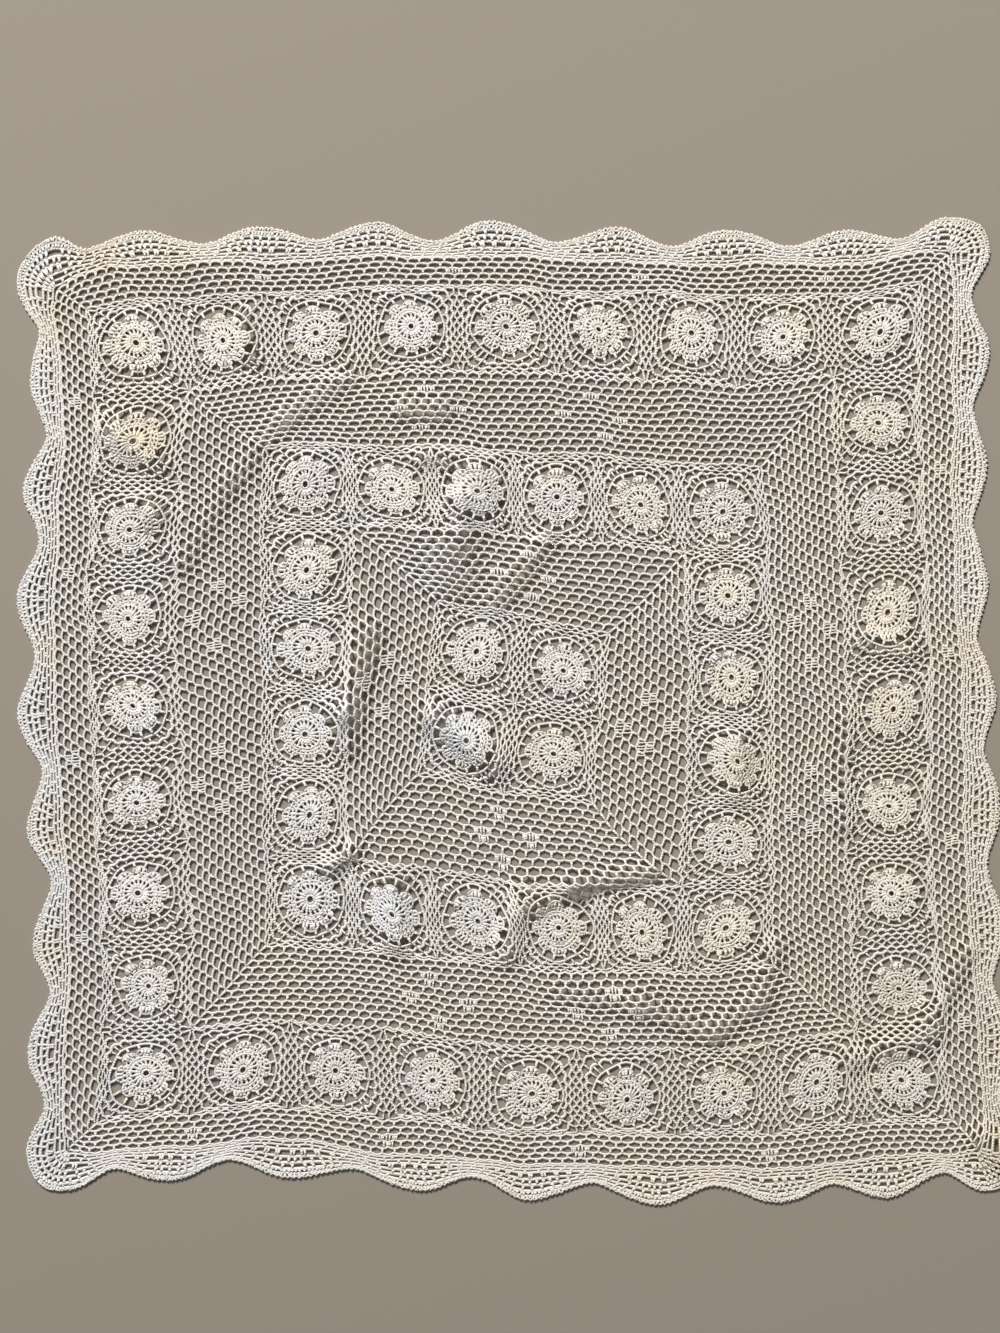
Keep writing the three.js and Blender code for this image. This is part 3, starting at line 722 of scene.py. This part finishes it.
def add_net_side(yarn, quarters, start, end, rows, first_count, blocks, roofed):
    """One side of a net: chain bars, the posts between them and the filled blocks."""
    peak = LOOP_PEAKS[quarters]
    halves = start + (end - start) * np.arange(rows + 1) / rows
    if roofed:
        halves -= ROOF_SINK * np.arange(rows + 1) / rows
    counts = first_count + np.arange(rows + 1)
    for row, (half, count) in enumerate(zip(halves, counts)):
        loop = np.arange(count * STEPS_PER_LOOP + 1) / STEPS_PER_LOOP
        x = -half + 2 * half * loop / count
        sag = np.interp(loop, np.arange(count + 1), chance.normal(0, NET_SAG, count + 1))
        if roofed and row == rows:
            y = bar_place(half, count, x, ROOF_PEAK, ROOF_RISE, ROOF_POWER) + sag
        else:
            y = bar_place(half, count, x, peak) + sag
        yarn.add(*turned(x, y, quarters), CHAIN_Z, CHAIN_WIDE, CHAIN_HIGH, BAR_SIDES)
        if row == 0:
            continue
        below = halves[row - 1]
        foot = np.arange(count)
        top_x = -half + 2 * half * foot / count
        low_x = np.where(foot == 0, -below, -below + 2 * below * (foot - 1 + peak) / (count - 1))
        low_y = np.where(foot == 0, below, below + NET_ARCH)
        add_posts(yarn, quarters, (low_x, low_y), (top_x, half + POST_OVERLAP), POST_WIDE)
    for row, place in blocks:
        add_block(yarn, quarters, halves, counts, row, place)


def net(name, start, end, loops, blocks):
    """A square net between two rings of medallions, in rounds with mitred corners."""
    yarn = Yarn()
    for quarters in range(len(SIDE_NAMES)):
        add_net_side(yarn, quarters, start, end, NET_ROWS, loops, blocks, True)
    return yarn.mesh(name)


# Medallions

def around(count, shift=0):
    """Degrees of places set evenly round a circle."""
    return (np.arange(count) + shift) * 360 / count


def add_heart(add):
    """The eye, stitches, knots and bindings of a flower."""
    add(EYE_RADIUS, around(EYE_POINTS), EYE_Z, EYE_WIDE, EYE_HIGH, BAR_SIDES, True)
    stitch = around(STITCH_COUNT, 0.5) + chance.normal(0, STITCH_STRAY, STITCH_COUNT)
    add(STITCH_RADII, stitch[:, None] + STITCH_LEANS, STITCH_Z, STITCH_WIDES, STITCH_HIGH, POST_SIDES)
    for count, apart, wide, foot, top in KNOT_ROUNDS:
        for side in (-0.5, 0.5):
            knot = around(count, chance.normal(0, KNOT_STRAY, count)) + side * apart
            add([foot, top], knot[:, None], KNOT_Z, wide, KNOT_HIGH, POST_SIDES)
    for radius, points, wide in BINDING_ROUNDS:
        wobble = chance.normal(0, BINDING_STRAY, points)
        add(radius + wobble, around(points), BINDING_Z, wide, BINDING_HIGH, POST_SIDES, True)


def add_petals(add):
    """The petals of a flower, some longer than others."""
    petal = around(PETAL_COUNT)[:, None]
    longer = chance.normal(0, PETAL_STRAY, (PETAL_COUNT, 1))
    for share in PETAL_BARS:
        tip = PETAL_TIP - PETAL_ROUNDING * share**2
        radius = [PETAL_FOOT, PETAL_WAIST, tip] + longer * PETAL_STRAY_SHARES
        uneven = chance.normal(0, PETAL_BAR_STRAY, (PETAL_COUNT, 1))
        degrees = petal + uneven + PETAL_SPREADS * share
        add(radius, degrees, PETAL_Z, PETAL_WIDES, PETAL_HIGH, POST_SIDES)
    across = np.linspace(-1, 1, HEM_POINTS)
    radius = HEM_RADIUS - HEM_ROUNDING * across**2 + longer
    add(radius, petal + HEM_SPREAD * across, HEM_Z, HEM_WIDE, HEM_HIGH, BAR_SIDES)


def add_flower_ring(add):
    """The ring round a flower, a little out of round, and the spokes that hold it."""
    petal = around(PETAL_COUNT)[:, None]
    for side in (-1, 1):
        degrees = petal + side * SPOKE_SPREADS
        radii = [SPOKE_FOOT, RING_RADIUS]
        add(radii, degrees, SPOKE_Z, SPOKE_WIDES, SPOKE_HIGH, POST_SIDES, dense=RING_DENSE)
    ring = around(RING_POINTS)
    bulge = RING_BULGE * np.cos(np.radians(ring * PETAL_COUNT))
    for waves in RING_WAVES:
        height = chance.normal(0, RING_STRAY)
        start = chance.uniform(0, 360)
        bulge = bulge + height * np.cos(np.radians(ring * waves + start))
    add(RING_RADIUS + bulge, ring, RING_Z, RING_WIDE, RING_HIGH, BAR_SIDES, True, RING_DENSE)


def add_rounds(yarn, settled, edges):
    """Rounds of chain bars on posts that take a medallion's ring out to a square.

    Each edge has its reach from the middle, and the share of a step that is spare outside the last round.
    Angles on a side count from its middle, and left and right are as seen from the medallion's middle.
    """
    sweep = np.radians(np.linspace(-HALF_TURN, HALF_TURN, SWEEP_POINTS))
    reaches = [reach for reach, spare in edges]
    steps = [(reach - RING_RADIUS) / (ROUND_COUNT + spare) for reach, spare in edges]
    corners = np.hypot(reaches, np.roll(reaches, -1)) + CORNER_OVERLAP
    corner_steps = (corners - RING_RADIUS) / (ROUND_COUNT + CORNER_SPARE)

    def neighbours(side):
        """A side, the one on its right and the one on its left."""
        return side, side - 1, (side + 1) % len(edges)

    def limit(side, number, dip):
        """How far out from the middle a round may go towards a side."""
        reach, spare = edges[side]
        held_back = ROUND_APART * (ROUND_COUNT - number) + SPARE_KEPT * spare - EDGE_OVERLAP + dip
        return reach - steps[side] * held_back

    def inside(radius, angle, own, right, left):
        """A radius, kept inside the reaches of its own side and the ones on its right and left."""
        beside = np.where(angle > 0, left, right) / np.maximum(np.abs(np.sin(angle)), LEAST_SINE)
        return np.minimum(radius, np.minimum(own / np.cos(angle), beside))

    def step_at(side, angle):
        """How far apart the rounds are, which changes towards the corners."""
        corner = np.where(angle > 0, corner_steps[side], corner_steps[side - 1])
        return steps[side] + (corner - steps[side]) * np.sin(2 * angle) ** 2

    def radius_at(side, number, angle, up):
        """Radius at a round's tips, with up 1, between, with up 0, or at its feet, with up -1."""
        step = step_at(side, angle)
        radius = RING_RADIUS + step * number + np.minimum(step, ARCHED_STEP) * ROUND_ARCH * up
        dip = np.where(up > 0, 0, ROUND_DIPS[number - 1])
        return inside(radius, angle, *(limit(near, number, dip) for near in neighbours(side)))

    def angle_at(side, number, share):
        """Angle at a place from -1 to 1 along a round's side, between even widths and even angles."""
        across = radius_at(side, number, sweep, 0) * np.sin(sweep)
        level = np.interp(np.where(share > 0, share * across[-1], -share * across[0]), across, sweep)
        return (level + share * sweep[-1]) / 2

    def add(radius, angle, wide, closed, dense):
        """Runs by their radii and angles from the medallion's middle."""
        place = settled(radius * np.cos(angle), radius * np.sin(angle))
        yarn.add(*place, ROUND_Z, wide, ROUND_HIGH, POST_SIDES, closed, dense)

    def add_round_posts(side, low, top, angle, wide, dense):
        """Posts between two radii, where these are far enough apart."""
        long = top - low > SHORTEST_ROUND_POST
        radius = np.stack([low, top], 1)[long]
        add(radius, angle[long, None] + side * math.pi / 2, wide, False, dense)

    below = [(sweep, np.full_like(sweep, RING_RADIUS))] * len(edges)
    for number in range(1, ROUND_COUNT + 1):
        loops = ROUND_LOOPS + number
        tips = np.arange(loops) - loops / 2
        points = (np.arange(loops * ROUND_STEPS) + 0.5) / ROUND_STEPS - loops / 2
        ups = np.sign(np.cos(2 * math.pi * (points - loops / 2)))
        radii, angles, wides = [], [], []
        for side in range(len(edges)):
            angle = angle_at(side, number, points / (loops / 2))
            radius = radius_at(side, number, angle, ups)
            wide = ROUND_WIDE_SHARE * step_at(side, angle)
            radii.append(radius)
            angles.append(angle + side * math.pi / 2)
            wides.append(np.clip(wide, ROUND_LEAST_WIDE, ROUND_WIDES[number - 1]))
            foot = angle_at(side, number, (tips + 0.5) / (loops / 2))
            low = np.interp(foot, *below[side])
            top = radius_at(side, number, foot, -1)
            add_round_posts(side, low, top, foot, ROUND_POST_WIDE, ROUND_DENSE)
            below[side] = (angle, radius)
            tip = angle_at(side, number, tips / (loops / 2))
            top = radius_at(side, number, tip, 1)
            if number == 1:
                low = np.array([RING_RADIUS])
                add_round_posts(side, low, top[:1], tip[:1], CORNER_POST_WIDE, RING_DENSE)
            if number == ROUND_COUNT:
                edge = inside(FAR_OUT, tip, *(reaches[near] for near in neighbours(side)))
                add_round_posts(side, top, edge, tip, EDGE_POST_WIDE, ROUND_DENSE)
        add(np.concatenate(radii), np.concatenate(angles), np.concatenate(wides), True, ROUND_DENSE)


def add_medallion(yarn, middle_x, middle_y, edges):
    """A flower in a ring, with rounds of loops out to its edges at the right, top, left and bottom."""
    puff = chance.uniform(*PUFFS)
    lean_x, lean_y = chance.uniform(-LEAN_STRAY, LEAN_STRAY, 2)
    turn = chance.normal(0, TURN_STRAY)
    shift_x, shift_y = chance.normal(0, SHIFT_STRAY, 2)
    stretch, skew = chance.normal(0, STRETCH_STRAY, 2)

    def settled(x, y):
        """A place of the medallion, a little out of shape as it lies, but true at its rim."""
        fade = np.maximum(1 - (x**2 + y**2) / SHIFT_FADES**2, 0)
        settled_x = middle_x + x + fade * (shift_x + stretch * x + skew * y)
        settled_y = middle_y + y + fade * (shift_y + skew * x - stretch * y)
        return settled_x, settled_y

    def add(radius, degrees, z, wide, high, sides, closed=False, dense=FLOWER_DENSE):
        """Runs of the flower by their radii and degrees, puffed up with it."""
        radius, degrees = np.broadcast_arrays(np.asarray(radius, float), np.asarray(degrees, float))
        angle = np.radians(degrees + turn * np.clip(1 - radius / TURN_FADES, 0, 1))
        x = radius * np.cos(angle)
        y = radius * np.sin(angle)
        swell = np.maximum(1 - (radius / PUFF_FADES) ** 2, 0)
        lift = swell * (puff + lean_x * x + lean_y * y)
        yarn.add(*settled(x, y), z + lift, wide, high, sides, closed, dense)

    add_heart(add)
    add_petals(add)
    add_flower_ring(add)
    add_rounds(yarn, settled, edges)


def medallions(name, count, pitch, outside, inside, half=0):
    """A square ring of medallions, or its top half with half 1, or its bottom half with half -1.

    Outside and inside are how far a medallion reaches towards the nets there.
    """
    yarn = Yarn()
    last = (count - 1) / 2
    steps = np.arange(count) - last
    for column in steps:
        for row in steps:
            # On the middle row, the right one counts as top and the left one as bottom
            in_other_half = (row or column) * half < 0
            if max(abs(column), abs(row)) < last or in_other_half:
                continue
            edges = []
            for step_x, step_y in OUTWARDS:
                far = max(abs(column + step_x), abs(row + step_y))
                if far > last:
                    edges.append((outside, NET_SPARE))
                elif far < last:
                    edges.append((inside, NET_SPARE))
                else:
                    edges.append((pitch / 2, NEXT_SPARE))
            add_medallion(yarn, column * pitch, row * pitch, edges)
    return yarn.mesh(name)


# Edging

def scallop_arch(x):
    """How far up its scallop a place along a side is, from 0 in a valley to 1 at a tip.

    Its distance from the tip comes second, which is 0 in the swelling round a corner.
    """
    beside = (x + SCALLOP_PITCH / 2) % SCALLOP_PITCH - SCALLOP_PITCH / 2
    share = np.clip((EDGING_BASE - np.abs(x)) / (EDGING_BASE - SCALLOPS_HALF), 0, 1)
    outside = np.abs(x) > SCALLOPS_HALF
    share = np.where(outside, share, 2 * beside / SCALLOP_PITCH)
    return ((1 + np.cos(math.pi * share)) / 2) ** SCALLOP_POWER, np.where(outside, 0, beside)


def edging_height(heights, x):
    """Height of a row over the base at a place along a side."""
    valley, tip, corner = heights
    arch = scallop_arch(x)[0]
    return valley + (np.where(np.abs(x) > SCALLOPS_HALF, corner, tip) - valley) * arch


def edging_place(x, turn, height):
    """A place at a height over the base, along the side at x or turned out round its corner by degrees."""
    angle = np.radians(turn)
    base = np.clip(x, -EDGING_BASE, EDGING_BASE)
    return base + height * np.sin(angle), EDGING_BASE + height * np.cos(angle)


def add_edging_bar(yarn, quarters, heights, tip_wide, dense, uneven, steps=BAR_STEPS, picot=0.0):
    """A bar along a side and half the way round its corners, with picots where these have a rise."""
    x = np.pad(np.linspace(-EDGING_BASE, EDGING_BASE, steps), TURN_STEPS, "edge")
    turn = np.linspace(HALF_TURN, 0, TURN_STEPS, endpoint=False)
    turn = np.concatenate([-turn, np.zeros(steps), turn[::-1]])
    wide = BAR_WIDE + (tip_wide - BAR_WIDE) * scallop_arch(x)[0]
    height = edging_height(heights, x) + chance.normal(0, uneven, len(x))
    height = height + picot * np.sin(2 * math.pi * x / PICOT_PITCH)
    place = turned(*edging_place(x, turn, height), quarters)
    sides = POST_SIDES if picot else BAR_SIDES
    yarn.add(*place, EDGING_Z, wide, EDGING_HIGH, sides, dense=dense)


def add_edging_posts(yarn, quarters, below, row, shift, fan, z, dense, uneven=0.0):
    """Posts from a lower row, given by its heights, up to a row. Uneven ones taper like picots."""
    heights, _, posts, crowd, turn_posts, wide, strands = row
    share = (np.arange(-SET_OUT_SCALLOPS * posts, SET_OUT_SCALLOPS * posts) + shift) / posts
    x = (share - crowd * np.sin(2 * math.pi * share) / (2 * math.pi)) * SCALLOP_PITCH
    x = x + chance.normal(0, POST_STRAY, len(x)) * SCALLOP_PITCH / posts
    x = x[np.abs(x) < EDGING_BASE - SCALLOP_PITCH / posts * POST_END_GAP]
    bend_share = (np.arange(turn_posts) + shift + TURN_POST_SHIFT) / max(turn_posts, 1)
    bend = bend_share * 2 * HALF_TURN - HALF_TURN
    turn = np.concatenate([bend, np.zeros(len(x))])
    x = np.concatenate([np.where(bend < 0, -EDGING_BASE, EDGING_BASE), x])
    arch, beside = scallop_arch(x)
    top = edging_height(heights, x) - BAR_WIDE / 2 + chance.normal(0, uneven, len(x))
    low = edging_height(below, x) + BAR_WIDE / 2
    spread = fan * beside * arch
    long = top - low > SHORTEST_EDGING_POST
    flare = PICOT_FLARE if uneven else POST_FLARE
    for strand in range(strands):
        aside = (strand - (strands - 1) / 2) * STRAND_APART + chance.normal(0, uneven, len(x))
        aside_turn = turn + np.where(turn == 0, 0, np.degrees(aside / np.maximum(top, 1)))
        aside = np.where(turn == 0, aside, 0)
        feet = [value[long] for value in edging_place(x + aside - spread, turn, low)]
        tops = [value[long] for value in edging_place(x + aside + spread, aside_turn, top)]
        add_posts(yarn, quarters, feet, tops, wide, z, dense, EDGING_HIGH, flare)


def add_edging_side(yarn, quarters):
    """The rows of the edging along one side, then its rim and picots."""
    below = (NET_ARCH, NET_ARCH, NET_ARCH)
    for number, row in enumerate(EDGING_ROWS):
        heights, tip_wide = row[:2]
        shift = 0.5 if number % 2 == 0 else 0
        add_edging_bar(yarn, quarters, heights, tip_wide, EDGING_DENSE, BAR_UNEVEN)
        add_edging_posts(yarn, quarters, below, row, shift, EDGING_FAN * number, EDGING_Z, EDGING_DENSE)
        below = heights
    add_edging_posts(yarn, quarters, below, RIM_ROW, 0, RIM_FAN, EDGING_Z, RIM_DENSE, RIM_UNEVEN)
    below, tip_wide = RIM_ROW[:2]
    add_edging_bar(yarn, quarters, below, tip_wide, RIM_DENSE, RIM_BAR_UNEVEN)
    add_edging_posts(yarn, quarters, below, PICOT_ROW, 0.5, PICOT_FAN, PICOT_Z, RIM_DENSE, PICOT_UNEVEN)
    heights, tip_wide = PICOT_ROW[:2]
    heights = [height - PICOT_BAR_SINK for height in heights]
    add_edging_bar(
        yarn, quarters, heights, tip_wide, RIM_DENSE, PICOT_BAR_UNEVEN, PICOT_BAR_STEPS, PICOT_RISE
    )


def edging(name, quarters):
    """The border net and the edging along one side."""
    yarn = Yarn()
    start = OUTER_HALF + BORDER_REACH
    add_net_side(yarn, quarters, start, EDGING_BASE, BORDER_ROWS, BORDER_NET_LOOPS, BORDER_BLOCKS, False)
    add_edging_side(yarn, quarters)
    return yarn.mesh(name)


# Cotton: ecru yarn, uneven in colour, with painted shade and painted light among its tints, and the twist of
# its plies

# Places of the colours among the sockets of a mix node
MIX_FIRST = 6
MIX_SECOND = 7
MIX_RESULT = 2


def node(tree, kind, **values):
    """A new node of a kind, with some of its settings."""
    made = tree.nodes.new(kind)
    for name, value in values.items():
        setattr(made, name, value)
    return made


def feed(tree, socket, value):
    """Gives a socket a colour, a number or another node's output."""
    if isinstance(value, tuple):
        socket.default_value = (*value, 1)
    elif isinstance(value, (int, float)):
        socket.default_value = value
    else:
        tree.links.new(value, socket)


def attribute(tree, name):
    """The values of one of the yarn's layers."""
    return node(tree, "ShaderNodeAttribute", attribute_name=name).outputs["Fac"]


def sums(tree, operation, *values):
    """The result of an operation on one or two values."""
    made = node(tree, "ShaderNodeMath", operation=operation)
    for socket, value in zip(made.inputs, values):
        feed(tree, socket, value)
    return made.outputs[0]


def blend(tree, share, first, second):
    """A colour between two others, by the share of the second."""
    made = node(tree, "ShaderNodeMix", data_type="RGBA", blend_type="MIX")
    feed(tree, made.inputs["Factor"], share)
    feed(tree, made.inputs[MIX_FIRST], first)
    feed(tree, made.inputs[MIX_SECOND], second)
    return made.outputs[MIX_RESULT]


def noise(tree, place, scale, detail, low, high):
    """Noise from 0 to 1, by the values that become 0 and 1."""
    made = node(tree, "ShaderNodeTexNoise")
    made.inputs["Scale"].default_value = scale
    made.inputs["Detail"].default_value = detail
    tree.links.new(place, made.inputs["Vector"])
    spread = node(tree, "ShaderNodeMapRange")
    spread.inputs["From Min"].default_value = low
    spread.inputs["From Max"].default_value = high
    tree.links.new(made.outputs[0], spread.inputs["Value"])
    return spread.outputs[0]


def cotton_colour(tree):
    """Mottled ecru, with stains, tints that are partly painted shade and painted warm and cool light, and
    strands and fibres that differ.
    """
    place = node(tree, "ShaderNodeTexCoord").outputs["Object"]
    colour = blend(tree, noise(tree, place, *MOTTLE_NOISE), COOL, WARM)
    stain = sums(tree, "MULTIPLY", noise(tree, place, *STAIN_NOISE), attribute(tree, "dense"))
    colour = blend(tree, sums(tree, "MULTIPLY", stain, STAIN_SHARE), colour, TAN)
    # Tan where the tint is above zero, partly real stains and partly painted shade and warm light; pale and
    # cool below zero, which is painted cool light
    stain_and_painted_light = attribute(tree, "stain_and_painted_light")
    painted_cool_share = sums(tree, "MULTIPLY", stain_and_painted_light, -1.0)
    colour = blend(tree, sums(tree, "MAXIMUM", stain_and_painted_light, 0.0), colour, TAN)
    colour = blend(tree, sums(tree, "MAXIMUM", painted_cool_share, 0.0), colour, PAINTED_COOL_LIGHT)
    strand = sums(tree, "MULTIPLY", attribute(tree, "tone"), STRAND_SHARE)
    fibre = sums(tree, "MULTIPLY", noise(tree, place, *FIBRE_NOISE), FIBRE_SHARE)
    return blend(tree, sums(tree, "ADD", strand, fibre), colour, DARK)


def cotton_plies(tree):
    """Bumps that slant along the yarn, mirrored at its crest, like the plies of its chain."""
    turn = sums(tree, "MULTIPLY", attribute(tree, "along"), 2 * math.pi / PLY_LENGTH)
    beside = sums(tree, "ABSOLUTE", sums(tree, "SUBTRACT", attribute(tree, "around"), PLY_CREST))
    turn = sums(tree, "ADD", turn, sums(tree, "MULTIPLY", beside, PLY_SLANT))
    bump = node(tree, "ShaderNodeBump")
    bump.inputs["Strength"].default_value = PLY_STRENGTH
    bump.inputs["Distance"].default_value = PLY_DEPTH
    tree.links.new(sums(tree, "SINE", turn), bump.inputs["Height"])
    return bump.outputs[0]


def new_material(name):
    """A new material and its shader."""
    material = bpy.data.materials.new(name)
    material.use_nodes = True
    return material, material.node_tree.nodes["Principled BSDF"]


def cotton():
    """The material of all the yarn."""
    material, shader = new_material("cotton")
    tree = material.node_tree
    tree.links.new(cotton_colour(tree), shader.inputs["Base Color"])
    for socket, value in FINISH.items():
        shader.inputs[socket].default_value = value
    tree.links.new(cotton_plies(tree), shader.inputs["Normal"])
    return material


# Pieces, from the middle out
OUTER_RING = (OUTER_COUNT, OUTER_PITCH, BORDER_REACH, OUTER_REACH)
pieces = [
    medallions("medallions_centre", CENTRE_COUNT, CENTRE_PITCH, CENTRE_REACH, CENTRE_REACH),
    net("net_inner", CENTRE_HALF + CENTRE_REACH, INNER_HALF - INNER_REACH, INNER_NET_LOOPS, DIAMOND),
    medallions("medallions_inner", INNER_COUNT, INNER_PITCH, INNER_REACH, INNER_REACH),
    net("net_outer", INNER_HALF + INNER_REACH, OUTER_HALF - OUTER_REACH, OUTER_NET_LOOPS, OUTER_DIAMONDS),
    medallions("medallions_outer_top", *OUTER_RING, half=1),
    medallions("medallions_outer_bottom", *OUTER_RING, half=-1),
]
for quarters, side in enumerate(SIDE_NAMES):
    pieces.append(edging(f"edging_{side}", quarters))

yarn_material = cotton()
for piece in pieces:
    piece.data.materials.append(yarn_material)
    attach(piece, "root")
    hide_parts("topper")


# Floor
floor_material, floor_shader = new_material("floor")
floor_shader.inputs["Base Color"].default_value = (*FLOOR_COLOUR, 1)
floor_shader.inputs["Roughness"].default_value = FLOOR_ROUGHNESS
floor_corners = [(x * FLOOR_HALF, y * FLOOR_HALF, 0) for x, y in ((-1, -1), (1, -1), (1, 1), (-1, 1))]
floor_mesh = bpy.data.meshes.new("floor")
floor_mesh.from_pydata(floor_corners, [], [(0, 1, 2, 3)])
floor_mesh.materials.append(floor_material)
floor = placed("floor", floor_mesh)


# Lights

def light(name, kind, energy, colour):
    """A light of a kind, still at the origin."""
    made = placed(name, bpy.data.lights.new(name, kind))
    made.data.energy = energy
    made.data.color = colour
    return made


key = light("key", "AREA", KEY_ENERGY, KEY_COLOUR)
key.data.shape = "DISK"
key.data.size = KEY_SIZE
key.location = KEY_PLACE
key.rotation_euler = (-key.location).to_track_quat("-Z", "Y").to_euler()

fill = light("fill", "SUN", FILL_ENERGY, FILL_COLOUR)
fill.data.angle = math.radians(FILL_SOFTNESS)
fill.rotation_euler = (math.radians(90 - FILL_ELEVATION), 0, math.radians(FILL_AZIMUTH + 90))

world = bpy.data.worlds.new("world")
bpy.context.scene.world = world
world.use_nodes = True
background = world.node_tree.nodes["Background"]
background.inputs["Color"].default_value = (*WORLD_COLOUR, 1)
background.inputs["Strength"].default_value = WORLD_STRENGTH

# Camera
camera = placed("camera", bpy.data.cameras.new("camera"))
camera.data.lens = CAMERA_LENS
camera.location = CAMERA_PLACE
bpy.context.scene.camera = camera
bpy.context.scene.view_settings.view_transform = "Standard"
